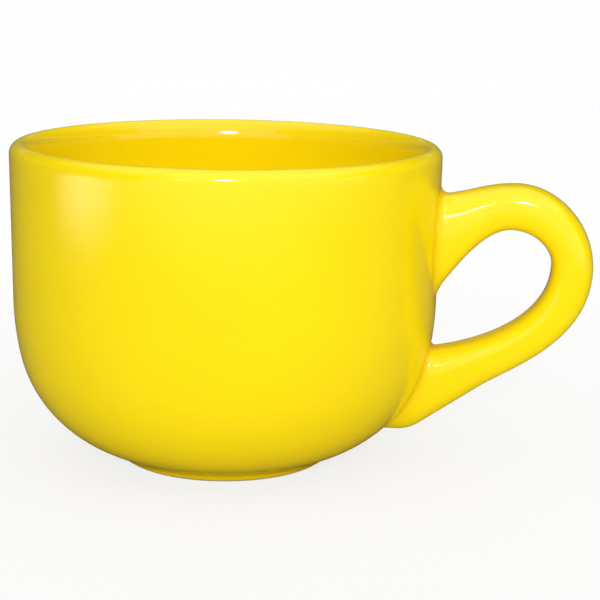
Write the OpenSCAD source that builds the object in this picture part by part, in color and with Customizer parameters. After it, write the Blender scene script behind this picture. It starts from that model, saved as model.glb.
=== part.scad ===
// Latte cup: a wide glazed stoneware cup on a low foot, with a loop handle luted to its side.
// Millimetres, +Z up, +X towards the handle, origin on the table in the middle of the foot.

/* [Cup] */
// Outside diameter of the lip
rim_d = 108; // [104:1:120]
// Height from the table to the top of the lip
cup_h = 80.6; // [74:0.1:96]
// Thickness of the wall with its glaze, the outside of the lip being half of it round
wall_t = 5.5; // [4:0.1:7]
// Height over which the inside of the lip rounds over into the wall
lip_ease = 5.5; // [4:0.1:8]
// Angle by which the wall closes in downwards
wall_draft = 0.6; // [0.2:0.1:2]
// Radius of the shoulder, where the wall begins to turn in
shoulder_r = 70; // [45:1:90]
// Angle through which the shoulder turns
shoulder_turn = 11.2; // [6:0.2:16]
// Radius of the bowl below the shoulder
bowl_r = 32.9; // [28:0.1:36]
// Slope of the underside between the foot and the bowl
under_slope = 19.5; // [15:0.5:28]

/* [Foot] */
// Outside diameter of the foot ring
foot_d = 54; // [48:1:58]
// Height of the foot ring below the underside
foot_h = 2; // [1.7:0.1:3.5]
// Breadth of the foot ring
foot_ring_w = 5; // [3.5:0.1:8]
// Depth of the recess inside the foot ring
recess_h = 2; // [1.4:0.1:3]
// Radius of the hollow between the foot ring and the underside
foot_fillet = 1.7; // [0.8:0.1:2]
// Bevel on both edges of the foot ring
foot_bevel = 0.4; // [0.2:0.1:0.8]

/* [Glaze] */
// Thickness of the glaze coat
glaze_t = 0.4; // [0.25:0.05:0.6]
// Height of the bare edge above the bevel, where the foot was wiped clean
bare_h = 0.1; // [0.1:0.1:0.4]

/* [Handle] */
// How far the handle stands out beyond the lip
handle_reach = 38.1; // [32:0.1:46]
// Breadth of the handle across
handle_w = 13.4; // [10:0.1:17]
// Thickness of the handle at its crest
crest_t = 11.4; // [9:0.1:14]
// Thickness of the handle at its far side
far_t = 10.5; // [8:0.1:13]
// How far the crest lies out from the lip
crest_out = 18.7; // [15:0.1:22]
// How far the crest lies below the top of the lip
crest_drop = 8.1; // [5:0.1:11]
// How far the farthest point lies below the top of the lip
far_drop = 28.9; // [25:0.1:33]
// How far the top edge meets the wall below the top of the lip
upper_root_drop = 11.3; // [9:0.1:15]
// Height of the upper root on the wall
upper_root_h = 24.2; // [20:0.1:28]
// Height above the table at which the inner edge meets the wall again
lower_root_z = 30.4; // [27:0.1:34]
// Height of the toe of the lower root above the table
toe_z = 8.7; // [7.5:0.1:12]
// How far the corner of the toe stands out from the bowl
toe_out = 7.2; // [5.5:0.1:9]
// Radius that rounds the corner of the toe
toe_r = 10.3; // [7:0.1:13]
// Slope of the lower arm
arm_slope = 35; // [30:0.5:40]
// Straight length of the lower arm above the corner of the toe
arm_straight = 22; // [17:0.5:25]
// How far the fillet round the upper root spreads on the cup
upper_flare = 1.3; // [0.8:0.1:2.2]
// How far the fillet round the lower root spreads on the cup
lower_flare = 0.7; // [0.5:0.1:1.6]
// How far a fillet reaches up the handle, as a multiple of its spread
flare_reach = 1.7; // [1.2:0.1:2.2]
// Thickness of the slip between the handle and the cup
slip_t = 1.2; // [0.6:0.1:1.8]

/* [Hidden] */
$fn = 120;
clay_colour = [0.93, 0.89, 0.80];
slip_colour = [0.86, 0.80, 0.70];
glaze_colour = [1.00, 0.87, 0.06];

// Finish of the curves
arc_step = 4;          // degrees between points on the cup's outline
sides = 24;            // points round a section of the handle
section_power = 2.3;   // roundness of that section, 2 for an ellipse
root_steps = 14;       // sections from a root to the crest
quarter_steps = 10;    // sections in each quarter of the loop
arm_steps = 22;        // sections along the lower arm
sink_steps = 4;        // sections inside the cup, which are trimmed off
root_sink = 3;         // how far those reach in
root_crowding = 1.5;   // above 1, the sections lie closer together near the roots

// Fullness of the handle's edges
root_ease = 0.4;       // share of the span from a root to the crest
quarter_ease = 0.53;   // share of the span from the crest to the far side
far_ease = 0.6;        // share of the span from the far side to the arm
arm_ease = 8;          // length over which the far side runs into the arm
inner_ease = 13.4;     // length over which the inner edge runs into the lower root
top_rise = 6.6;        // rise of the top edge where it leaves the wall
under_rise = 50.6;     // rise of the inner edge where it leaves the wall
inner_rise = 8.3;      // rise of the inner edge where it leaves the lower root
inner_shift = 1;       // how far the inner crest lies back, and the inner far point up, from the outer ones
arm_share = 0.75;      // share of the inner edge that lies above the straight arm
toe_fade = 0.8;        // share of the fillet that is left out under the toe

// Lip, wall, shoulder and bowl in the r-z plane, each tangent to the next
rim_r = rim_d / 2;
foot_r = foot_d / 2;
lip_r = wall_t / 2;
lip_c = [rim_r - lip_r, cup_h - lip_r];
wall_dir = 90 - wall_draft;
bowl_dir = wall_dir - shoulder_turn;
wall_out = [cos(wall_draft), -sin(wall_draft)];
under_dir = [cos(under_slope), sin(under_slope)];
under_out = [sin(under_slope), -cos(under_slope)];
curve_rise = bowl_r * [sin(bowl_dir) - sin(under_slope), cos(under_slope) - cos(bowl_dir)]
    + shoulder_r * [sin(wall_dir) - sin(bowl_dir), cos(bowl_dir) - cos(wall_dir)];
// The underside is as long as it takes for the curves above it to run into the wall
foot_top = [foot_r, foot_h];
under_l = (lip_r - (foot_top + curve_rise - lip_c) * wall_out) / (under_dir * wall_out);
bowl_start = foot_top + under_l * under_dir;
bowl_c = bowl_start - bowl_r * under_out;
shoulder_c = bowl_c + (bowl_r - shoulder_r) * [sin(bowl_dir), -cos(bowl_dir)];
bowl_top_z = bowl_c.y - bowl_r * cos(bowl_dir);
wall_z = shoulder_c.y - shoulder_r * cos(wall_dir);
floor_z = bowl_c.y - bowl_r + wall_t;
ring_in_r = foot_r - foot_ring_w;
glaze_z = foot_bevel + bare_h;
// The hollow above the foot is an arc about a point outside the cup, and ends above the foot's bare edge
hollow_drop = (1 - sin(under_slope)) / cos(under_slope);
hollow_r = min(foot_fillet, (foot_h - glaze_z) / hollow_drop);
hollow_c = foot_top + hollow_r * [1, -hollow_drop];

function on_arc(c, r, a) = c + r * [cos(a), sin(a)];

// Points of an arc from one angle to another, without the first
function arc(c, r, from, to) =
    let (n = max(1, ceil(abs(to - from) / arc_step)))
    [for (i = [1:n]) on_arc(c, r, from + (to - from) * i / n)];

function reversed(list) = [for (i = [len(list) - 1:-1:0]) list[i]];

function bezier(p, t) =
    pow(1 - t, 3) * p[0] + 3 * pow(1 - t, 2) * t * p[1] + 3 * (1 - t) * t * t * p[2] + pow(t, 3) * p[3];

// Outside of the cup from the side of the foot to the top of the lip, moved out by d
function outer_line(d) = concat(
    [on_arc(hollow_c, hollow_r - d, 180)],
    arc(hollow_c, hollow_r - d, 180, 90 + under_slope),
    [on_arc(bowl_c, bowl_r + d, under_slope - 90)],
    arc(bowl_c, bowl_r + d, under_slope - 90, bowl_dir - 90),
    arc(shoulder_c, shoulder_r + d, bowl_dir - 90, wall_dir - 90),
    [on_arc(lip_c, lip_r + d, -wall_draft)],
    arc(lip_c, lip_r + d, -wall_draft, 90));

// Inside of the lip, a quarter of an ellipse from its top to the wall, moved into the wall by d
function inner_lip(d) =
    let (half = (lip_r - d) / cos(wall_draft) + (lip_ease - lip_r) * tan(wall_draft),
         n = ceil(90 / arc_step))
    [for (i = [0:n])
        let (a = 90 * i / n)
        [lip_c.x - half * sin(a), cup_h - lip_ease + (lip_ease - d) * cos(a)]];

// Inside of the cup from the top of the lip to the middle of the floor, moved into the wall by d
function inner_line(d) = concat(
    inner_lip(d),
    [on_arc(shoulder_c, shoulder_r - wall_t + d, wall_dir - 90)],
    arc(shoulder_c, shoulder_r - wall_t + d, wall_dir - 90, bowl_dir - 90),
    arc(bowl_c, bowl_r - wall_t + d, bowl_dir - 90, -90),
    [[0, floor_z - d]]);

// Outside radius of the cup at a height
function outer_r(z) =
    z < bowl_start.y ? foot_r + (z - foot_h) / tan(under_slope) :
    z < bowl_top_z ? bowl_c.x + sqrt(bowl_r * bowl_r - pow(z - bowl_c.y, 2)) :
    z < wall_z ? shoulder_c.x + sqrt(shoulder_r * shoulder_r - pow(z - shoulder_c.y, 2)) :
    lip_c.x + lip_r / cos(wall_draft) + (z - lip_c.y) * tan(wall_draft);

// Distance of a point from the outside of the cup
function gap(p) =
    let (q = [norm([p.x, p.y]), p.z], b = q - bowl_c, s = q - shoulder_c)
    atan2(b.y, b.x) < under_slope - 90 ? (q - foot_top) * under_out :
    atan2(b.y, b.x) < bowl_dir - 90 ? norm(b) - bowl_r :
    atan2(s.y, s.x) < -wall_draft ? norm(s) - shoulder_r :
    (q - lip_c) * wall_out - lip_r;

// Outer and inner edge of the handle in its own plane, as pairs of points from root to root
top_z = cup_h - upper_root_drop;
under_z = top_z - upper_root_h;
top_start = [outer_r(top_z), top_z];
under_start = [outer_r(under_z), under_z];
crest = [rim_r + crest_out, cup_h - crest_drop];
far = [rim_r + handle_reach, cup_h - far_drop];
inner_crest = crest - [inner_shift, crest_t];
inner_far = far + [-far_t, inner_shift];
inner_end = [outer_r(lower_root_z), lower_root_z];
arm_dir = [cos(arm_slope), sin(arm_slope)];
toe_corner = [outer_r(toe_z) + toe_out, toe_z];
toe_l = toe_r * tan(arm_slope / 2);
toe_c = toe_corner + [-toe_l, toe_r];
arm_top = toe_corner + arm_straight * arm_dir;
arm_l = arm_straight - toe_l;
toe_arc_l = toe_r * arm_slope * PI / 180;
toe_flat_l = toe_out - toe_l;

top_edge = [
    top_start,
    top_start + root_ease * (crest.x - top_start.x) * [cos(top_rise), sin(top_rise)],
    crest - root_ease * [crest.x - top_start.x, 0],
    crest];
under_edge = [
    under_start,
    under_start + root_ease * (inner_crest.y - under_start.y) * [cos(under_rise), sin(under_rise)],
    inner_crest - root_ease * [inner_crest.x - under_start.x, 0],
    inner_crest];
far_edge = [
    crest,
    crest + quarter_ease * [far.x - crest.x, 0],
    far + quarter_ease * [0, crest.y - far.y],
    far];
inner_far_edge = [
    inner_crest,
    inner_crest + quarter_ease * [inner_far.x - inner_crest.x, 0],
    inner_far + quarter_ease * [0, inner_crest.y - inner_far.y],
    inner_far];
turn_edge = [
    far,
    far - far_ease * [0, far.y - arm_top.y],
    arm_top + arm_ease * arm_dir,
    arm_top];
inner_turn_edge = [
    inner_far,
    inner_far - far_ease * [0, inner_far.y - inner_end.y],
    inner_end + inner_ease * [cos(inner_rise), sin(inner_rise)],
    inner_end];

// Point on the outer edge of the lower arm, a length away from the top of its straight stretch
function arm_edge(l) =
    l < arm_l ? arm_top - l * arm_dir :
    l < arm_l + toe_arc_l ? on_arc(toe_c, toe_r, arm_slope - 90 - (l - arm_l) / toe_r * 180 / PI) :
    [toe_c.x - (l - arm_l - toe_arc_l), toe_z];

// A station is an outer point, an inner point, the spread of the fillet on the cup next to it,
// and the share of that fillet left out at the outer point
upper_sunk = [for (i = [sink_steps:-1:1])
    let (in = [root_sink * pow(i / sink_steps, 2), 0])
    [top_start - in, under_start - in, upper_flare, 0]];
upper_root = [for (i = [0:root_steps])
    let (t = pow(i / root_steps, root_crowding))
    [bezier(top_edge, t), bezier(under_edge, t), upper_flare, 0]];
loop_top = [for (i = [1:quarter_steps])
    let (t = i / quarter_steps)
    [bezier(far_edge, t), bezier(inner_far_edge, t), 0, 0]];
loop_turn = [for (i = [1:quarter_steps])
    let (t = i / quarter_steps)
    [bezier(turn_edge, t), bezier(inner_turn_edge, t * arm_share), 0, 0]];
lower_arm = [for (i = [1:arm_steps])
    let (t = 1 - pow(1 - i / arm_steps, root_crowding))
    [arm_edge(t * (arm_l + toe_arc_l + toe_flat_l)),
     bezier(inner_turn_edge, arm_share + (1 - arm_share) * t), lower_flare, toe_fade]];
lower_sunk = [for (i = [1:sink_steps])
    let (in = root_sink * pow(i / sink_steps, 2))
    [[toe_corner.x - toe_out - in, toe_z], inner_end - in * [cos(inner_rise), sin(inner_rise)],
     lower_flare, toe_fade]];
upper_end = concat(upper_sunk, upper_root);
lower_end = concat(lower_arm, lower_sunk);
stations = concat(upper_end, loop_top, loop_turn, lower_end);

// Spread of the fillet at a distance from the cup
function flare(g, spread) =
    let (reach = flare_reach * spread)
    g < reach ? spread * pow(1 - max(g, 0) / reach, 2) : 0;

// Points round the handle at a station, set in from the finished surface by d
function ring(station, d) =
    let (mid = (station[0] + station[1]) / 2, out = station[0] - mid, half_t = norm(out), dir = out / half_t)
    [for (k = [0:sides - 1])
        let (c = cos(360 * k / sides),
             s = sin(360 * k / sides),
             u = sign(c) * pow(abs(c), 2 / section_power),
             v = sign(s) * pow(abs(s), 2 / section_power),
             bare = mid + half_t * u * dir,
             spread = station[2] * (1 - station[3] * max(u, 0)),
             fillet = flare(gap([bare.x, handle_w / 2 * v, bare.y]), spread),
             p = mid + (half_t + fillet - d) * u * dir)
        [p.x, (handle_w / 2 + fillet - d) * v, p.y]];

function rings(list, d) = [for (s = list, p = ring(s, d)) p];

// Triangles between the rings, from the point number first on
function skin(count, first) = [
    for (i = [0:count - 2], k = [0:sides - 1])
        let (a = first + i * sides + k,
             b = first + i * sides + (k + 1) % sides)
        each [[a, b, a + sides], [b, b + sides, a + sides]]];

function turned(faces) = [for (f = faces) reversed(f)];

// Solid along the handle's stations, set in from the finished surface by d
module handle_sweep(list, d) {
    last = (len(list) - 1) * sides;
    polyhedron(rings(list, d), concat(
        [[for (k = [sides - 1:-1:0]) k]],
        skin(len(list), 0),
        [[for (k = [0:sides - 1]) last + k]]));
}

// Coat round the handle, from the clay's surface to the finished one
module handle_coat() {
    n = len(stations);
    inner = n * sides;
    last = (n - 1) * sides;
    polyhedron(concat(rings(stations, 0), rings(stations, glaze_t)), concat(
        skin(n, 0),
        turned(skin(n, inner)),
        [for (k = [0:sides - 1])
            let (m = (k + 1) % sides)
            each [[m, k, inner + k], [m, inner + k, inner + m],
                  [last + k, last + m, last + inner + k],
                  [last + m, last + inner + m, last + inner + k]]]));
}

// The cup as one full solid, moved out by d, which trims what is joined to it
module cup_envelope(d) {
    rotate_extrude() polygon(concat([[0, hollow_c.y]], outer_line(d), [[0, cup_h + d]]));
}

// Layer on the outside of the cup between two distances from the finished surface
module cup_layer(from, to) {
    rotate_extrude() polygon(concat(outer_line(to), reversed(outer_line(from))));
}

// Clay wall, floor and foot ring, formed in one piece
module cup_body() {
    outside = outer_line(-glaze_t);
    inside = inner_line(glaze_t);
    clay_foot_r = foot_r - glaze_t;
    color(clay_colour) rotate_extrude() polygon(concat(
        [[ring_in_r, foot_bevel], [ring_in_r + foot_bevel, 0],
         [clay_foot_r - foot_bevel, 0], [clay_foot_r, foot_bevel]],
        outside,
        [for (i = [1:len(inside) - 1]) inside[i]],
        [[0, recess_h + glaze_t], [ring_in_r, recess_h + glaze_t]]));
}

// Clay loop, moulded by itself and trimmed to the slip on the cup
module handle() {
    color(clay_colour) difference() {
        handle_sweep(stations, glaze_t);
        cup_envelope(slip_t - glaze_t);
    }
}

// Slip that lutes the upper root to the wall
module upper_slip_joint() {
    color(slip_colour) intersection() {
        handle_sweep(upper_end, glaze_t);
        cup_layer(-glaze_t, slip_t - glaze_t);
    }
}

// Slip that lutes the lower root to the bowl
module lower_slip_joint() {
    color(slip_colour) intersection() {
        handle_sweep(lower_end, glaze_t);
        cup_layer(-glaze_t, slip_t - glaze_t);
    }
}

// Glaze poured over the inside, up to the top of the lip
module inside_glaze() {
    color(glaze_colour) rotate_extrude() polygon(concat(inner_line(0), reversed(inner_line(glaze_t))));
}

// Glaze on the outside, from the lip to the wiped edge of the foot, open where the roots stand
module outside_glaze() {
    color(glaze_colour) difference() {
        rotate_extrude() polygon(concat(
            [[foot_r - glaze_t, glaze_z], [foot_r, glaze_z]],
            outer_line(0),
            reversed(outer_line(-glaze_t))));
        handle_sweep(upper_end, 0);
        handle_sweep(lower_end, 0);
    }
}

// Glaze round the handle and over the edges of both slip joints
module handle_glaze() {
    color(glaze_colour) difference() {
        handle_coat();
        cup_envelope(-glaze_t);
    }
}

// Glaze in the recess under the cup, inside the bare foot ring
module base_glaze() {
    color(glaze_colour) rotate_extrude() polygon([
        [0, recess_h], [ring_in_r - glaze_t, recess_h], [ring_in_r - glaze_t, glaze_z],
        [ring_in_r, glaze_z], [ring_in_r, recess_h + glaze_t], [0, recess_h + glaze_t]]);
}

cup_body();
handle();
upper_slip_joint();
lower_slip_joint();
inside_glaze();
outside_glaze();
handle_glaze();
base_glaze();
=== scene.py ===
import math

import bmesh
import bpy
import numpy as np
from mathutils import Matrix, Vector
from mathutils.kdtree import KDTree


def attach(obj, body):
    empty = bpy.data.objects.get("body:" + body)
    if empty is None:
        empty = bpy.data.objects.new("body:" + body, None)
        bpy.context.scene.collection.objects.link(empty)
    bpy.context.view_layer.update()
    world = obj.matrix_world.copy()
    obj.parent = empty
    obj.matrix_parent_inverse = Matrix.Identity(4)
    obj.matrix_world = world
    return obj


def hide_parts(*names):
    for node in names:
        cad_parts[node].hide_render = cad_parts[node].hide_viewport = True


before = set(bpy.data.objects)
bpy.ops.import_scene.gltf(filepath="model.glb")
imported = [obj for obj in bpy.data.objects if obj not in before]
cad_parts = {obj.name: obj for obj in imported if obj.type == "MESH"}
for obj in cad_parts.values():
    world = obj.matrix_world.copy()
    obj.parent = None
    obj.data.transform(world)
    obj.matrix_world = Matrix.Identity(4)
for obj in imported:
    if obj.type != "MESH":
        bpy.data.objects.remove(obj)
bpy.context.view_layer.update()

mm = 0.001
print("frame:", len(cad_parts), "solids of clay, slip and glaze")


# shader wiring

class Wire:
    # an output socket; sums written with it become Math nodes
    def __init__(self, shader, socket):
        self.shader, self.socket = shader, socket

    def maths(self, operation, first, second):
        return self.shader.node("ShaderNodeMath", {"operation": operation}, {0: first, 1: second})

    def __add__(self, other):
        return self.maths("ADD", self, other)

    def __radd__(self, other):
        return self.maths("ADD", other, self)

    def __sub__(self, other):
        return self.maths("SUBTRACT", self, other)

    def __rsub__(self, other):
        return self.maths("SUBTRACT", other, self)

    def __mul__(self, other):
        return self.maths("MULTIPLY", self, other)

    def __rmul__(self, other):
        return self.maths("MULTIPLY", other, self)

    def __gt__(self, other):
        return self.maths("GREATER_THAN", self, other)

    def __lt__(self, other):
        return self.maths("LESS_THAN", self, other)


class Shader:
    # a material or the world, and the one way in which nodes are added to it
    def __init__(self, owner):
        owner.use_nodes = True
        self.owner, self.tree = owner, owner.node_tree
        self.tree.nodes.clear()

    def node(self, kind, settings=None, values=None, out=0):
        made = self.tree.nodes.new(kind)
        for name, value in (settings or {}).items():
            setattr(made, name, value)
        for name, value in (values or {}).items():
            if isinstance(value, Wire):
                self.tree.links.new(value.socket, made.inputs[name])
            else:
                made.inputs[name].default_value = value
        return Wire(self, made.outputs[out]) if made.outputs else made

    def place(self):
        return self.node("ShaderNodeTexCoord", out="Object")

    def distance(self, place):
        return self.node("ShaderNodeVectorMath", {"operation": "LENGTH"}, {0: place}, out="Value")

    def mix(self, share, first, second):
        return self.node("ShaderNodeMix", {"data_type": "RGBA"}, {0: share, 6: first, 7: second}, out=2)

    def ramp(self, value, low, high):
        # 0 below low, 1 above high, eased between
        return self.node("ShaderNodeMapRange", {"interpolation_type": "SMOOTHSTEP"},
                         {0: value, 1: low, 2: high})

    def noise(self, place, scale, detail=2.0, roughness=0.5):
        return self.node("ShaderNodeTexNoise", None,
                         {"Vector": place, "Scale": scale, "Detail": detail, "Roughness": roughness})

    def finishWith(self, surface, kind="ShaderNodeOutputMaterial"):
        self.node(kind, None, {"Surface": surface})
        return self.owner


def newShader(name):
    return Shader(bpy.data.materials.new(name))


# glaze

glazeLook = {
    "yellow": (0.93, 0.705, 0.0025, 1),
    "deep": (0.85, 0.545, 0.002, 1),       # where the glaze has gathered
    "thin": (0.95, 0.745, 0.010, 1),       # where it has drawn away from the lip
    "deepShare": 0.75, "thinShare": 0.8,
    "cloudScale": 34, "cloudFrom": 0.35, "cloudTo": 0.75, "cloudShare": 0.10,
    "speck": (0.20, 0.12, 0.02, 1), "speckScale": 62, "speckSize": 0.022, "speckSoft": 0.011,
    "speckChance": 0.80, "speckShare": 0.8, "speckDip": 0.1,
    "roughness": 0.09, "roughnessSpread": 0.05, "roughnessScale": 90,
    "peelScale": 210, "peelDepth": 0.010,
    "rippleScale": 720, "rippleDepth": 0.05,
    "bump": 0.6, "ior": 1.5,
}


def makeGlaze():
    look = glazeLook
    s = newShader("yellowGlaze")
    place = s.place()
    pool = s.node("ShaderNodeAttribute", {"attribute_name": "glazePool"}, out="Fac")
    thin = s.node("ShaderNodeAttribute", {"attribute_name": "glazeThin"}, out="Fac")
    cloud = s.ramp(s.noise(place, look["cloudScale"], 3.0), look["cloudFrom"], look["cloudTo"])
    colour = s.mix(cloud * look["cloudShare"], look["yellow"], look["deep"])
    colour = s.mix(thin * look["thinShare"], colour, look["thin"])
    colour = s.mix(pool * look["deepShare"], colour, look["deep"])
    # a few iron specks, one in some of the cells
    cells = {"Vector": place, "Scale": look["speckScale"], "Randomness": 1.0}
    near = s.node("ShaderNodeTexVoronoi", None, cells, out="Distance")
    chance = s.node("ShaderNodeSeparateColor", None,
                    {0: s.node("ShaderNodeTexVoronoi", None, cells, out="Color")})
    speck = (1 - s.ramp(near, look["speckSoft"], look["speckSize"])) * (chance > look["speckChance"])
    colour = s.mix(speck * look["speckShare"], colour, look["speck"])
    roughness = look["roughness"] + look["roughnessSpread"] * s.noise(place, look["roughnessScale"], 4.0)
    peel = s.noise(place, look["peelScale"]) * look["peelDepth"]
    ripple = s.noise(place, look["rippleScale"]) * pool * look["rippleDepth"]
    bump = s.node("ShaderNodeBump", None, {
        "Strength": look["bump"], "Distance": mm, "Height": peel + ripple - look["speckDip"] * speck})
    return s.finishWith(s.node("ShaderNodeBsdfPrincipled", None, {
        "Base Color": colour, "Roughness": roughness, "IOR": look["ior"], "Normal": bump}))


# bare clay and slip

dryLook = {"gritShare": 0.6, "darkBelow": 0.3, "paleAbove": 0.7,
           "roughness": 0.72, "roughnessSpread": 0.2, "bump": 0.5}
clayLook = {**dryLook, "pale": (0.76, 0.66, 0.50, 1), "dark": (0.58, 0.48, 0.34, 1),
            "gritScale": 1400, "stainScale": 84, "gritDepth": 0.12}
slipLook = {**dryLook, "pale": (0.66, 0.56, 0.42, 1), "dark": (0.50, 0.41, 0.29, 1),
            "gritScale": 900, "stainScale": 54, "gritDepth": 0.15}


def makeClay(name, look):
    s = newShader(name)
    place = s.place()
    grit = s.noise(place, look["gritScale"], 5.0, 0.65)
    stain = s.noise(place, look["stainScale"], 3.0)
    tone = grit * look["gritShare"] + stain * (1 - look["gritShare"])
    colour = s.mix(s.ramp(tone, look["darkBelow"], look["paleAbove"]), look["dark"], look["pale"])
    bump = s.node("ShaderNodeBump", None, {
        "Strength": look["bump"], "Distance": mm, "Height": grit * look["gritDepth"]})
    return s.finishWith(s.node("ShaderNodeBsdfPrincipled", None, {
        "Base Color": colour, "Roughness": look["roughness"] + look["roughnessSpread"] * grit, "Normal": bump}))


def dress(material, *nodes):
    for node in nodes:
        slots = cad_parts[node].data.materials
        slots.clear()
        slots.append(material)


yellowGlaze = makeGlaze()
dress(makeClay("bareClay", clayLook), "cup_body", "handle")
dress(makeClay("drySlip", slipLook), "upper_slip_joint", "lower_slip_joint")
print("materials: glaze, clay and slip")


# meshes

def addPiece(name, points, faces, marks, *nodes):
    mesh = bpy.data.meshes.new(name)
    mesh.from_pydata((np.asarray(points) * mm).tolist(), [], faces)
    shell = bmesh.new()
    shell.from_mesh(mesh)
    bmesh.ops.recalc_face_normals(shell, faces=shell.faces)
    shell.to_mesh(mesh)
    shell.free()
    mesh.shade_smooth()
    for mark, values in marks.items():
        mesh.attributes.new(mark, "FLOAT", "POINT").data.foreach_set("value", np.asarray(values, np.float32))
    mesh.materials.append(yellowGlaze)
    piece = bpy.data.objects.new(name, mesh)
    bpy.context.scene.collection.objects.link(piece)
    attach(piece, "root")
    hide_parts(*nodes)


def lathe(outline, sides):
    # turn a closed outline of (radius, height) rows; a row on the axis is one point
    points, rows = [], []
    angles = 2 * math.pi * np.arange(sides) / sides
    for r, z in outline:
        first = len(points)
        if r < 1e-6:
            points.append((0, 0, z))
            rows.append([first] * sides)
        else:
            points.extend(zip(r * np.cos(angles), r * np.sin(angles), [z] * sides))
            rows.append(list(range(first, first + sides)))
    faces = []
    for i, low in enumerate(rows):
        high = rows[(i + 1) % len(rows)]
        if low[0] == low[1] and high[0] == high[1]:
            continue
        for k in range(sides):
            m = (k + 1) % sides
            ring = [low[k], low[m], high[m], high[k]]
            faces.append(sorted(set(ring), key=ring.index))
    return np.array(points, float), faces


def heading(angle):
    return np.array([math.cos(math.radians(angle)), math.sin(math.radians(angle))])


def arc(centre, radius, start, end, step):
    count = max(1, math.ceil(abs(end - start) / step))
    return [centre + radius * heading(start + (end - start) * i / count) for i in range(count + 1)]


def between(start, end, spacing):
    # points on a straight line, without its ends
    count = max(1, math.ceil(np.linalg.norm(end - start) / spacing))
    return [start + (end - start) * i / count for i in range(1, count)]


# the cup's outline in millimetres and degrees, with the sizes of its solids and a softer hollow over the foot

cup = {
    "rimD": 107.96, "height": 80.6, "wall": 5.5, "lipEase": 5.5, "draft": 0.6,
    "shoulderR": 70, "shoulderTurn": 11.2, "bowlR": 32.9, "underSlope": 19.5,
    "footD": 54, "footH": 2, "footRing": 5, "recess": 2, "footFillet": 3.0,
    "glaze": 0.4, "glazeEdge": 0.5, "edgeRound": 0.3,
    "seamPool": 1.4, "poolFall": 1.3, "hollowPool": 0.35, "hollowReach": 0.6, "hollowTop": 3.5, "lipThin": 1.6,
    "sides": 288, "rowSpacing": 1.2, "floorSpacing": 3.6, "lipRows": 20, "claySide": 2.5,
    "edgeStep": 15, "hollowStep": 8, "bowlStep": 2, "shoulderStep": 1, "lipStep": 5,
}
rimR, footR = cup["rimD"] / 2, cup["footD"] / 2
lipR = cup["wall"] / 2
lipC = np.array([rimR - lipR, cup["height"] - lipR])
wallDir = 90 - cup["draft"]
bowlDir = wallDir - cup["shoulderTurn"]
wallOut, underOut = heading(-cup["draft"]), heading(cup["underSlope"] - 90)
underDir = heading(cup["underSlope"])
footTop = np.array([footR, cup["footH"]])
curveRise = (cup["bowlR"] * (heading(bowlDir - 90) - underOut)
             + cup["shoulderR"] * (heading(wallDir - 90) - heading(bowlDir - 90)))
underLength = (lipR - (footTop + curveRise - lipC) @ wallOut) / (underDir @ wallOut)
bowlC = footTop + underLength * underDir - cup["bowlR"] * underOut
shoulderC = bowlC + (cup["bowlR"] - cup["shoulderR"]) * heading(bowlDir - 90)
hollowDrop = (1 - math.sin(math.radians(cup["underSlope"]))) / math.cos(math.radians(cup["underSlope"]))
hollowC = footTop + cup["footFillet"] * np.array([1, -hollowDrop])
floorZ = bowlC[1] - cup["bowlR"] + cup["wall"]


def hollowStart(d):
    # where the hollow over the foot meets the rounded edge of the coat, in degrees round its centre
    rise = cup["glazeEdge"] + cup["edgeRound"] - hollowC[1]
    return 180 - math.degrees(math.asin(rise / (cup["footFillet"] - d)))


def outsideLine(d, fine):
    # from the foot to the top of the lip, moved out by d; the rows lie further apart as fine grows
    under = arc(hollowC, cup["footFillet"] - d, hollowStart(d), 90 + cup["underSlope"],
                cup["hollowStep"] * fine)
    bowl = arc(bowlC, cup["bowlR"] + d, cup["underSlope"] - 90, bowlDir - 90, cup["bowlStep"] * fine)
    shoulder = arc(shoulderC, cup["shoulderR"] + d, bowlDir - 90, wallDir - 90, cup["shoulderStep"] * fine)[1:]
    lip = arc(lipC, lipR + d, -cup["draft"], 90, cup["lipStep"] * fine)
    spacing = cup["rowSpacing"] * fine
    return (under + between(under[-1], bowl[0], spacing) + bowl + shoulder
            + between(shoulder[-1], lip[0], spacing) + lip)


def insideLine(d, fine):
    # from the top of the lip to the middle of the floor, moved into the wall by d
    draft, ease = math.radians(cup["draft"]), cup["lipEase"]
    half = (lipR - d) / math.cos(draft) + (ease - lipR) * math.tan(draft)
    turn = np.radians(np.linspace(0, 90, math.ceil(cup["lipRows"] / fine) + 1))[1:]
    lip = list(np.stack([lipC[0] - half * np.sin(turn),
                         cup["height"] - ease + (ease - d) * np.cos(turn)], -1))
    shoulder = arc(shoulderC, cup["shoulderR"] - cup["wall"] + d, wallDir - 90, bowlDir - 90,
                   cup["shoulderStep"] * fine)
    bowl = arc(bowlC, cup["bowlR"] - cup["wall"] + d, bowlDir - 90, -90, cup["bowlStep"] * fine)[1:]
    middle = np.array([0, floorZ - d])
    return (lip + between(lip[-1], shoulder[0], cup["rowSpacing"] * fine) + shoulder + bowl
            + between(bowl[-1], middle, cup["floorSpacing"] * fine) + [middle])


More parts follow.
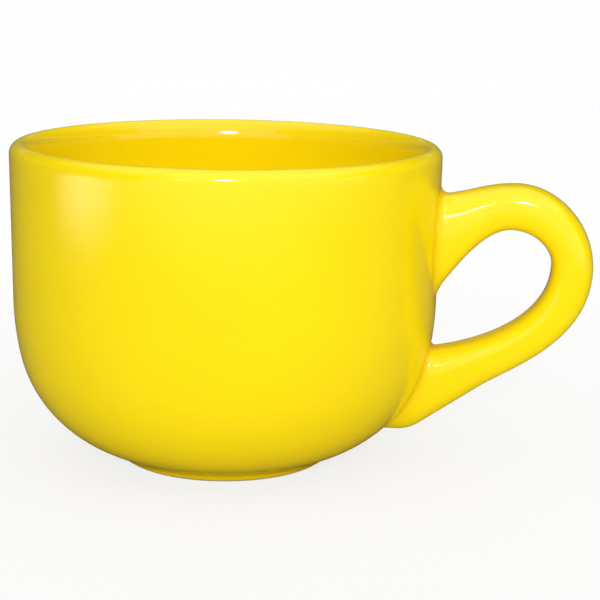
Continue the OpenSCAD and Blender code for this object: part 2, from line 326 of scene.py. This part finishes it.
def cupSkin(points):
    # distance of each point from the outside of the cup, and the direction away from it
    r = np.hypot(points[..., 0], points[..., 1])
    q = np.stack([r, points[..., 2]], -1)
    b, s = q - bowlC, q - shoulderC
    bAngle = np.degrees(np.arctan2(b[..., 1], b[..., 0]))
    sAngle = np.degrees(np.arctan2(s[..., 1], s[..., 0]))
    bLength, sLength = np.linalg.norm(b, axis=-1), np.linalg.norm(s, axis=-1)
    cases = [bAngle < cup["underSlope"] - 90, bAngle < bowlDir - 90, sAngle < -cup["draft"]]
    distance = np.select(
        cases, [(q - footTop) @ underOut, bLength - cup["bowlR"], sLength - cup["shoulderR"]],
        (q - lipC) @ wallOut - lipR)
    flat = np.select([c[..., None] for c in cases],
                     [np.broadcast_to(underOut, q.shape), b / bLength[..., None], s / sLength[..., None]],
                     np.broadcast_to(wallOut, q.shape))
    away = np.stack([flat[..., 0] * points[..., 0] / r, flat[..., 0] * points[..., 1] / r, flat[..., 1]], -1)
    return distance, away


# handle: the glaze round the loop, run out on the cup in a fillet along every line of its surface; a power
# of 2 makes its section an ellipse and a higher one squarer, and its finger side is drawn in by innerInset

handle = {
    "reach": 38.11, "width": 13.4, "crestT": 11.4, "farT": 10.5, "crestOut": 18.72, "crestDrop": 8.1,
    "farDrop": 28.9, "upperDrop": 11.3, "upperH": 24.2, "lowerZ": 30.4, "toeZ": 8.7, "toeOut": 7.2,
    "toeR": 10.3, "armSlope": 35, "armStraight": 22, "sink": 3,
    "outerPower": 2.7, "innerPower": 3.2, "innerInset": 0.2,
    "rootEase": 0.4, "quarterEase": 0.53, "farEase": 0.6, "armEase": 8, "innerEase": 13.4,
    "topRise": 6.6, "underRise": 50.6, "innerRise": 8.3, "innerShift": 1, "armShare": 0.75,
    "upperFlare": 1.3, "lowerFlare": 0.7, "toeFade": 0.8, "flareReach": 1.7,
    "upperFillet": 1.0, "lowerFillet": 0.5, "toeFillet": 0.2, "toeFall": 1.5, "bed": 0.02, "pool": 0.9,
    "sides": 96, "rings": 190, "filletRings": 9, "stations": 120, "halvings": 50,
}


def outerR(z):
    # outside radius of the cup at a height
    low, high = footR, rimR
    for step in range(handle["halvings"]):
        middle = (low + high) / 2
        outside = cupSkin(np.array([middle, 0.0, z]))[0] > 0
        low, high = (low, middle) if outside else (middle, high)
    return low


def bezier(p, t):
    t = np.asarray(t)[:, None]
    return (1 - t) ** 3 * p[0] + 3 * (1 - t) ** 2 * t * p[1] + 3 * (1 - t) * t * t * p[2] + t ** 3 * p[3]


def handleStations():
    # outer and inner edge of the loop in its own plane, from the upper root to the lower one
    h = handle
    count = h["stations"]
    across, up = np.array([1.0, 0.0]), np.array([0.0, 1.0])
    topZ = cup["height"] - h["upperDrop"]
    underZ = topZ - h["upperH"]
    topStart, underStart = np.array([outerR(topZ), topZ]), np.array([outerR(underZ), underZ])
    crest = np.array([rimR + h["crestOut"], cup["height"] - h["crestDrop"]])
    far = np.array([rimR + h["reach"], cup["height"] - h["farDrop"]])
    innerCrest = crest - np.array([h["innerShift"], h["crestT"]])
    innerFar = far + np.array([-h["farT"], h["innerShift"]])
    innerEnd = np.array([outerR(h["lowerZ"]), h["lowerZ"]])
    armDir = heading(h["armSlope"])
    toeCorner = np.array([outerR(h["toeZ"]) + h["toeOut"], h["toeZ"]])
    toeLength = h["toeR"] * math.tan(math.radians(h["armSlope"] / 2))
    toeC = toeCorner + np.array([-toeLength, h["toeR"]])
    armTop = toeCorner + h["armStraight"] * armDir
    armLength = h["armStraight"] - toeLength
    toeArc = h["toeR"] * math.radians(h["armSlope"])
    flatLength = h["toeOut"] - toeLength

    def armEdge(length):
        if length < armLength:
            return armTop - length * armDir
        if length < armLength + toeArc:
            turned = math.degrees((length - armLength) / h["toeR"])
            return toeC + h["toeR"] * heading(h["armSlope"] - 90 - turned)
        return toeC - (length - armLength - toeArc) * across - h["toeR"] * up

    topRun, underRun = h["rootEase"] * (crest - topStart), h["rootEase"] * (innerCrest - underStart)
    topEdge = [topStart, topStart + topRun[0] * heading(h["topRise"]), crest - topRun[0] * across, crest]
    underEdge = [underStart, underStart + underRun[1] * heading(h["underRise"]),
                 innerCrest - underRun[0] * across, innerCrest]
    farEdge = [crest, crest + h["quarterEase"] * (far - crest)[0] * across,
               far + h["quarterEase"] * (crest - far)[1] * up, far]
    innerFarEdge = [innerCrest, innerCrest + h["quarterEase"] * (innerFar - innerCrest)[0] * across,
                    innerFar + h["quarterEase"] * (innerCrest - innerFar)[1] * up, innerFar]
    turnEdge = [far, far - h["farEase"] * (far - armTop)[1] * up, armTop + h["armEase"] * armDir, armTop]
    innerTurnEdge = [innerFar, innerFar - h["farEase"] * (innerFar - innerEnd)[1] * up,
                     innerEnd + h["innerEase"] * heading(h["innerRise"]), innerEnd]

    sunk = h["sink"] * np.linspace(1, 0, count // 6, endpoint=False)[:, None]
    t = np.linspace(0, 1, count)
    rest = t[1:]
    outer = [topStart - sunk * across, bezier(topEdge, t), bezier(farEdge, rest), bezier(turnEdge, rest),
             np.array([armEdge(x) for x in rest * (armLength + toeArc + flatLength)])]
    inner = [underStart - sunk * across, bezier(underEdge, t), bezier(innerFarEdge, rest),
             bezier(innerTurnEdge, rest * h["armShare"]),
             bezier(innerTurnEdge, h["armShare"] + (1 - h["armShare"]) * rest)]
    outer.append(outer[-1][-1] - sunk[::-1] * across)
    inner.append(innerEnd - sunk[::-1] * heading(h["innerRise"]))
    # spread of the flare beside each station, and the share of it left out at the outer edge
    spreads = [h["upperFlare"], h["upperFlare"], 0, 0, h["lowerFlare"], h["lowerFlare"]]
    spread = np.concatenate([np.full(len(o), x) for o, x in zip(outer, spreads)])
    fade = np.where(np.arange(len(spread)) < len(spread) // 2, 0, h["toeFade"])
    return np.concatenate(outer), np.concatenate(inner), spread, fade


def along(lines, places):
    # points of every line at its own places, counted in stations
    low = np.clip(np.floor(places).astype(int), 0, len(lines) - 2)
    share = (places - low)[..., None]
    column = np.arange(lines.shape[1])
    return lines[low, column] * (1 - share) + lines[low + 1, column] * share


def surfaceNormals(grid):
    # grid of rings; every ring is closed
    onward = np.gradient(grid, axis=0)
    around = np.roll(grid, -1, axis=1) - np.roll(grid, 1, axis=1)
    n = np.cross(onward, around)
    return n / np.linalg.norm(n, axis=-1, keepdims=True)


def filletRun(lines, normals, hit, side, sizes):
    # quarter-turns from each line to the cup; side is +1 where the handle lies at higher stations
    h = handle
    corner = along(lines, hit)
    lengths = np.linalg.norm(np.diff(lines, axis=0), axis=-1)
    travelled = np.concatenate([np.zeros((1, lines.shape[1])), np.cumsum(lengths, axis=0)])
    column = np.arange(lines.shape[1])
    hitLow = np.floor(hit).astype(int)
    atHit = travelled[hitLow, column] + (hit - hitLow) * lengths[hitLow, column]
    leave = np.array([np.interp(atHit[k] + side * sizes[k], travelled[:, k], np.arange(len(lines)))
                      for k in column])
    start = along(lines, leave)
    away = cupSkin(corner)[1]
    outward = along(normals, hit)
    outward = outward - np.sum(outward * away, -1, keepdims=True) * away
    outward /= np.linalg.norm(outward, axis=-1, keepdims=True)
    foot = corner + sizes[:, None] * outward
    distance, footAway = cupSkin(foot)
    foot = foot - (distance[:, None] + h["bed"]) * footAway
    t = np.linspace(0, 1, h["filletRings"] + 1)[1:, None, None]
    return leave, (1 - t) ** 2 * start + 2 * (1 - t) * t * corner + t ** 2 * foot


def handleSurface():
    h = handle
    outer, inner, spread, fade = handleStations()
    middle, half = (outer + inner) / 2, (outer - inner) / 2
    halfLength = np.linalg.norm(half, axis=-1, keepdims=True)
    direction = half / halfLength
    angle = 2 * math.pi * np.arange(h["sides"]) / h["sides"]
    # rounder on the outside of the loop, squarer towards the fingers
    power = np.where(np.cos(angle) > 0, h["outerPower"], h["innerPower"])
    u = np.sign(np.cos(angle)) * np.abs(np.cos(angle)) ** (2 / power)
    v = np.sign(np.sin(angle)) * np.abs(np.sin(angle)) ** (2 / power)

    def section(extra):
        # rings of the loop, each point let out by extra
        reach = halfLength + extra - h["innerInset"] * (u < 0)
        flat = middle[:, None] + (reach * u)[..., None] * direction[:, None]
        return np.stack([flat[..., 0], (h["width"] / 2 + extra) * v, flat[..., 1]], -1)

    bare = section(np.zeros((len(outer), h["sides"])))
    own = spread[:, None] * (1 - fade[:, None] * np.clip(u, 0, 1))
    reach = np.maximum(h["flareReach"] * own, 1e-9)
    lines = section(own * np.clip(1 - np.clip(cupSkin(bare)[0], 0, None) / reach, 0, None) ** 2)
    normals = surfaceNormals(lines)
    gap = cupSkin(lines)[0]
    column = np.arange(h["sides"])
    mid = len(lines) // 2
    upper, lower = np.zeros(h["sides"]), np.zeros(h["sides"])
    for k in column:
        i = np.nonzero(gap[:mid, k] <= 0)[0][-1]
        upper[k] = i + gap[i, k] / (gap[i, k] - gap[i + 1, k])
        i = mid + np.nonzero(gap[mid:, k] <= 0)[0][0] - 1
        lower[k] = i + gap[i, k] / (gap[i, k] - gap[i + 1, k])
    upperSize = np.full(h["sides"], h["upperFillet"])
    lowerSize = h["lowerFillet"] + (h["toeFillet"] - h["lowerFillet"]) * np.clip(u, 0, 1) ** h["toeFall"]
    leaveUpper, upperRun = filletRun(lines, normals, upper, 1, upperSize)
    leaveLower, lowerRun = filletRun(lines, normals, lower, -1, lowerSize)
    share = np.linspace(0, 1, h["rings"])
    # rings lie closer near the roots
    share = (share + 0.5 - 0.5 * np.cos(math.pi * share)) / 2
    run = along(lines, leaveUpper + (leaveLower - leaveUpper) * share[:, None])
    return np.concatenate([upperRun[::-1], run, lowerRun])


def makeHandleGlaze():
    grid = handleSurface()
    rings, sides = grid.shape[:2]
    claySide = grid - cup["glaze"] * surfaceNormals(grid)
    points = np.concatenate([grid.reshape(-1, 3), claySide.reshape(-1, 3)])
    count = rings * sides
    faces = []
    for i in range(rings - 1):
        for k in range(sides):
            m = (k + 1) % sides
            a, b, c, d = i * sides + k, i * sides + m, (i + 1) * sides + m, (i + 1) * sides + k
            faces.append((a, b, c, d))
            faces.append((count + d, count + c, count + b, count + a))
    for i in (0, rings - 1):
        for k in range(sides):
            m = (k + 1) % sides
            edge = (i * sides + k, i * sides + m, count + i * sides + m, count + i * sides + k)
            faces.append(edge if i else edge[::-1])
    gap = np.clip(cupSkin(grid)[0], 0, None)
    pool = np.exp(-(gap / handle["pool"]) ** cup["poolFall"])
    marks = {"glazePool": np.tile(pool.ravel(), 2), "glazeThin": np.zeros(2 * count)}
    addPiece("handleGlaze", points, faces, marks, "handle_glaze")
    print("handle glaze:", rings, "rings of", sides)
    return np.concatenate([grid[0], grid[-1]])


# cup: one coat inside and outside, over the lip

def makeCupGlaze(seam):
    hollowEnd = hollowC + cup["footFillet"] * heading(hollowStart(0))
    edge = arc(hollowEnd - cup["edgeRound"] * heading(0), cup["edgeRound"], -90, 0, cup["edgeStep"])[:-1]
    front = edge + outsideLine(0, 1) + insideLine(0, 1)
    back = outsideLine(-cup["glaze"], cup["claySide"]) + insideLine(cup["glaze"], cup["claySide"])
    foot = [np.array([footR - cup["glaze"], cup["glazeEdge"]])]
    points, faces = lathe(front + back[::-1] + foot, cup["sides"])
    tree = KDTree(len(seam))
    for i, p in enumerate(seam):
        tree.insert(Vector(p), i)
    tree.balance()
    # the glaze gathers along the handle's seams and in the hollow over the foot, and runs off the lip
    away = np.array([tree.find(Vector(p))[2] for p in points])
    pool = np.exp(-(away / cup["seamPool"]) ** cup["poolFall"])
    r, z = np.hypot(points[:, 0], points[:, 1]), points[:, 2]
    hollow = np.abs(np.hypot(r - hollowC[0], z - hollowC[1]) - cup["footFillet"])
    low = cup["hollowPool"] * np.exp(-hollow / cup["hollowReach"]) * (z < cup["hollowTop"])
    crest = np.hypot(r - lipC[0], z - lipC[1] - lipR)
    marks = {"glazePool": np.maximum(pool, low), "glazeThin": np.exp(-(crest / cup["lipThin"]) ** 2)}
    addPiece("cupGlaze", points, faces, marks, "inside_glaze", "outside_glaze")
    print("cup glaze:", len(faces), "faces")


# base: the glaze in the recess inside the foot ring

base = {"cove": 1.0, "coveStep": 9, "rowSpacing": 2.5, "pool": 0.7, "poolReach": 1.2, "sides": 144}


def makeBaseGlaze():
    glaze, edge, bend, cove = cup["glaze"], cup["glazeEdge"], cup["edgeRound"], base["cove"]
    ringR, top = footR - cup["footRing"], cup["recess"]
    r = ringR - glaze
    middle = np.array([0.0, top])
    corner = arc(np.array([r - cove, top - cove]), cove, 90, 0, base["coveStep"])
    lip = arc(np.array([r + bend, edge + bend]), bend, 180, 270, cup["edgeStep"])
    front = [middle] + between(middle, corner[0], base["rowSpacing"]) + corner + lip
    back = [np.array(p) for p in ((ringR, edge), (ringR, top + glaze), (0.0, top + glaze))]
    points, faces = lathe(front + back, base["sides"])
    away = np.abs(r - np.hypot(points[:, 0], points[:, 1]))
    marks = {"glazePool": base["pool"] * np.exp(-away / base["poolReach"]), "glazeThin": np.zeros(len(points))}
    addPiece("baseGlaze", points, faces, marks, "base_glaze")
    print("base glaze:", len(faces), "faces")


makeCupGlaze(makeHandleGlaze())
makeBaseGlaze()


# camera, as the photograph was taken: millimetres from the cup's axis and above the table, the cup's turn
# in degrees, the camera's own angles in radians, and the focal length in pixels

shot = {"distance": 409.996, "height": 130.109, "turn": 10.0, "yaw": 0.046274, "pitch": 0.216046,
        "roll": 0.017807, "focal": 1638.18, "pixels": 600, "sensor": 36, "clipStart": 0.01}


def makeCamera():
    yaw, pitch = shot["yaw"], shot["pitch"]
    forward = Vector((math.sin(yaw) * math.cos(pitch), math.cos(yaw) * math.cos(pitch), -math.sin(pitch)))
    right = Vector((math.cos(yaw), -math.sin(yaw), 0))
    up = right.cross(forward)
    tilt = Matrix.Rotation(-shot["roll"], 3, forward)
    right, up = tilt @ right, tilt @ up
    turn = Matrix.Rotation(math.radians(shot["turn"]), 3, "Z")
    axes = turn @ Matrix((right, up, -forward)).transposed()
    spot = turn @ Vector((0, -shot["distance"], shot["height"])) * mm
    data = bpy.data.cameras.new("camera")
    data.sensor_width = shot["sensor"]
    data.lens = shot["focal"] * shot["sensor"] / shot["pixels"]
    data.clip_start = shot["clipStart"]
    camera = bpy.data.objects.new("camera", data)
    camera.matrix_world = Matrix.Translation(spot) @ axes.to_4x4()
    bpy.context.scene.collection.objects.link(camera)
    bpy.context.scene.camera = camera


makeCamera()


# studio, in metres and in degrees to the right of the camera

cupMiddle = (0, 0, 0.045)


def addStage(name, points, faces, material):
    mesh = bpy.data.meshes.new(name)
    mesh.from_pydata(points, [], faces)
    mesh.materials.append(material)
    made = bpy.data.objects.new(name, mesh)
    bpy.context.scene.collection.objects.link(made)
    return made


def keepToReflections(made):
    made.visible_camera = made.visible_diffuse = made.visible_shadow = False


def circle(radius, z, sides):
    return [(*(radius * heading(360 * k / sides)), z) for k in range(sides)]


# floor: a pale sweep, nearly white to the camera and less so close to the cup, where its shadow lies

floor = {
    "rings": (0.15, 0.5, 1.2), "sweepR": 2.4, "sweepRise": 0.9, "sweepStep": 6, "top": 1.1, "sides": 96,
    "colour": (0.80, 0.80, 0.79, 1), "dim": (0.76, 0.76, 0.75, 1), "cloudScale": 3.0,
    "whiteNear": 0.80, "whiteFar": 0.97, "whiteFrom": 0.05, "whiteTo": 0.30,
}


def makeFloor():
    s = newShader("paleFloor")
    place = s.place()
    colour = s.mix(s.noise(place, floor["cloudScale"], 3.0), floor["colour"], floor["dim"])
    outwards = s.ramp(s.distance(place), floor["whiteFrom"], floor["whiteTo"])
    share = floor["whiteNear"] + (floor["whiteFar"] - floor["whiteNear"]) * outwards
    camera, glossy, through = [s.node("ShaderNodeLightPath", out=ray)
                               for ray in ("Is Camera Ray", "Is Glossy Ray", "Is Transmission Ray")]
    seen = s.node("ShaderNodeMath", {"operation": "MINIMUM"}, {0: camera + glossy + through, 1: 1.0})
    plain = s.node("ShaderNodeBsdfDiffuse", None, {"Color": colour})
    white = s.node("ShaderNodeEmission", None, {"Color": (1, 1, 1, 1), "Strength": 1.0})
    surface = s.finishWith(s.node("ShaderNodeMixShader", None, {0: seen * share, 1: plain, 2: white}))
    r, rise, sides = floor["sweepR"], floor["sweepRise"], floor["sides"]
    rows = [(ring, 0.0) for ring in floor["rings"]]
    rows += [tuple(p) for p in arc(np.array([r, rise]), rise, -90, 0, floor["sweepStep"])]
    rows.append((r + rise, floor["top"]))
    points, faces = [(0, 0, 0)], []
    for radius, z in rows:
        points += circle(radius, z, sides)
    for k in range(sides):
        m = (k + 1) % sides
        faces.append((0, 1 + k, 1 + m))
        for i in range(len(rows) - 1):
            low = 1 + i * sides
            faces.append((low + k, low + sides + k, low + sides + m, low + m))
    addStage("sweep", points, faces, surface).data.shade_smooth()


# lamps: where each one stands, seen from what it is aimed at, and the width of its beam

lamps = {
    "keyBox": {"aim": cupMiddle, "round": 14, "up": 32, "away": 1.60, "size": (2.80, 0.86),
               "watts": 6.0, "spread": 180},
    "flash": {"aim": cupMiddle, "round": -1, "up": 20, "away": 1.20, "size": (0.10, 0.10),
              "watts": 6.5, "spread": 180},
    "rightBox": {"aim": cupMiddle, "round": 58, "up": 47, "away": 0.70, "size": (0.50, 0.20),
                 "watts": 0.2, "spread": 180},
    # the streak along the handle's upper arm
    "armSpot": {"aim": (0.0626, -0.0061, 0.0668), "round": -25, "up": 19.5, "away": 0.80,
                "size": (0.11, 0.04), "watts": 0.0008, "spread": 6},
    # light for the far side, which the glaze doesn't mirror
    "backFill": {"aim": cupMiddle, "round": 180, "up": 28, "away": 1.50, "size": (1.80, 0.60),
                 "watts": 6.0, "spread": 180, "mirrored": False},
}


def makeLamps():
    for name, lamp in lamps.items():
        aim = Vector(lamp["aim"])
        side, up = math.radians(lamp["round"] + shot["turn"]), math.radians(lamp["up"])
        towards = Vector((math.sin(side) * math.cos(up), -math.cos(side) * math.cos(up), math.sin(up)))
        data = bpy.data.lights.new(name, "AREA")
        data.shape = "RECTANGLE"
        data.size, data.size_y = lamp["size"]
        data.energy, data.spread = lamp["watts"], math.radians(lamp["spread"])
        made = bpy.data.objects.new(name, data)
        facing = (-towards).to_track_quat("-Z", "Y").to_matrix().to_4x4()
        made.matrix_world = Matrix.Translation(aim + lamp["away"] * towards) @ facing
        made.visible_camera = False
        made.visible_glossy = lamp.get("mirrored", True)
        bpy.context.scene.collection.objects.link(made)


# painted dark reflection: a dark round sheet whose middle lies behind the cup, and a low dark screen round the
# cup, from so many degrees on the right of straight behind to so many on the left; only the glaze's reflections
# see them, in place of shade, and they cast no shadow and light nothing

darkReflectionCard = {
    "behind": 0.35, "fade": 0.60, "edge": 0.98, "lift": 0.0003, "sides": 96,
    "screenAway": 0.62, "screenRight": 105, "screenLeft": 138, "screenTop": 0.26,
    "colour": (0.105, 0.097, 0.082, 1), "pale": (0.145, 0.134, 0.114, 1), "mottleScale": 40.0,
}


def makeDarkReflectionCard():
    s = newShader("paintedDarkReflection")
    place = s.place()
    # painted dark reflection: a dark colour that only the glaze's reflections see, in place of shade
    paintedShadeSheet = s.node("ShaderNodeBsdfDiffuse", None, {
        "Color": s.mix(s.noise(place, darkReflectionCard["mottleScale"], 3.0), darkReflectionCard["colour"], darkReflectionCard["pale"])})
    # the painted dark sheet fades out at its edge, the screen doesn't
    height = s.node("ShaderNodeSeparateXYZ", None, {0: place}, out="Z")
    gone = s.ramp(s.distance(place), darkReflectionCard["fade"], darkReflectionCard["edge"]) * (height < darkReflectionCard["lift"])
    surface = s.finishWith(s.node("ShaderNodeMixShader", None, {
        0: gone, 1: paintedShadeSheet, 2: s.node("ShaderNodeBsdfTransparent")}))
    sides = darkReflectionCard["sides"]
    points, faces = circle(darkReflectionCard["edge"], 0, sides), [tuple(range(sides))]
    for k in range(sides + 1):
        turned = (darkReflectionCard["screenRight"] + darkReflectionCard["screenLeft"]) * k / sides - darkReflectionCard["screenRight"]
        x, y = darkReflectionCard["screenAway"] * heading(90 + turned)
        y -= darkReflectionCard["behind"]
        points += [(x, y, darkReflectionCard["lift"]), (x, y, darkReflectionCard["screenTop"])]
        if k:
            n = len(points)
            faces.append((n - 4, n - 2, n - 1, n - 3))
    made = addStage("paintedDarkReflection", points, faces, surface)
    turn = Matrix.Rotation(math.radians(shot["turn"]), 4, "Z")
    made.matrix_world = turn @ Matrix.Translation((0, darkReflectionCard["behind"], darkReflectionCard["lift"]))
    keepToReflections(made)


# painted bright reflection: a glowing patch lying on the floor to the left, soft at its edge, which only the
# glaze's reflections see; it is no lamp and lights nothing

brightReflectionPatch = {"round": -73, "away": 0.52, "radius": 0.23, "lift": 0.0008, "sides": 48,
        "colour": (1.0, 0.98, 0.94, 1), "strength": 3.6}


def makeBrightReflectionPatch():
    s = newShader("paintedBrightReflection")
    # painted highlight: a glow that only the glaze's reflections see
    paintedGlow = s.node("ShaderNodeEmission", None, {"Color": brightReflectionPatch["colour"], "Strength": brightReflectionPatch["strength"]})
    surface = s.finishWith(s.node("ShaderNodeMixShader", None, {
        0: s.ramp(s.distance(s.place()), 0.0, brightReflectionPatch["radius"]), 1: paintedGlow, 2: s.node("ShaderNodeBsdfTransparent")}))
    made = addStage("paintedBrightReflection", circle(brightReflectionPatch["radius"], 0, brightReflectionPatch["sides"]), [range(brightReflectionPatch["sides"])], surface)
    x, y = brightReflectionPatch["away"] * heading(brightReflectionPatch["round"] + shot["turn"] - 90)
    made.matrix_world = Matrix.Translation((x, y, brightReflectionPatch["lift"]))
    keepToReflections(made)


# world: dim all round and bright overhead, leaning towards the camera

sky = {"colour": (1.0, 0.99, 0.97, 1), "horizon": 0.03, "ceiling": 1.2,
       "ceilingFrom": 0.47, "ceilingTo": 0.95, "lean": 7}


def makeSky():
    world = bpy.data.worlds.new("studio")
    bpy.context.scene.world = world
    s = Shader(world)
    side, lean = math.radians(shot["turn"]), math.radians(sky["lean"])
    axis = (math.sin(side) * math.sin(lean), -math.cos(side) * math.sin(lean), math.cos(lean))
    direction = s.node("ShaderNodeTexCoord", out="Generated")
    up = s.node("ShaderNodeVectorMath", {"operation": "DOT_PRODUCT"}, {0: direction, 1: axis}, out="Value")
    horizon = s.node("ShaderNodeBackground", None, {"Color": sky["colour"], "Strength": sky["horizon"]})
    ceiling = s.node("ShaderNodeBackground", None, {"Color": sky["colour"], "Strength": sky["ceiling"]})
    s.finishWith(s.node("ShaderNodeMixShader", None, {
        0: s.ramp(up, sky["ceilingFrom"], sky["ceilingTo"]), 1: horizon, 2: ceiling}), "ShaderNodeOutputWorld")


makeFloor()
makeLamps()
makeDarkReflectionCard()
makeBrightReflectionPatch()
makeSky()
bpy.context.scene.view_settings.view_transform = "Standard"
print("studio: sweep, felt and", len(lamps), "lamps")
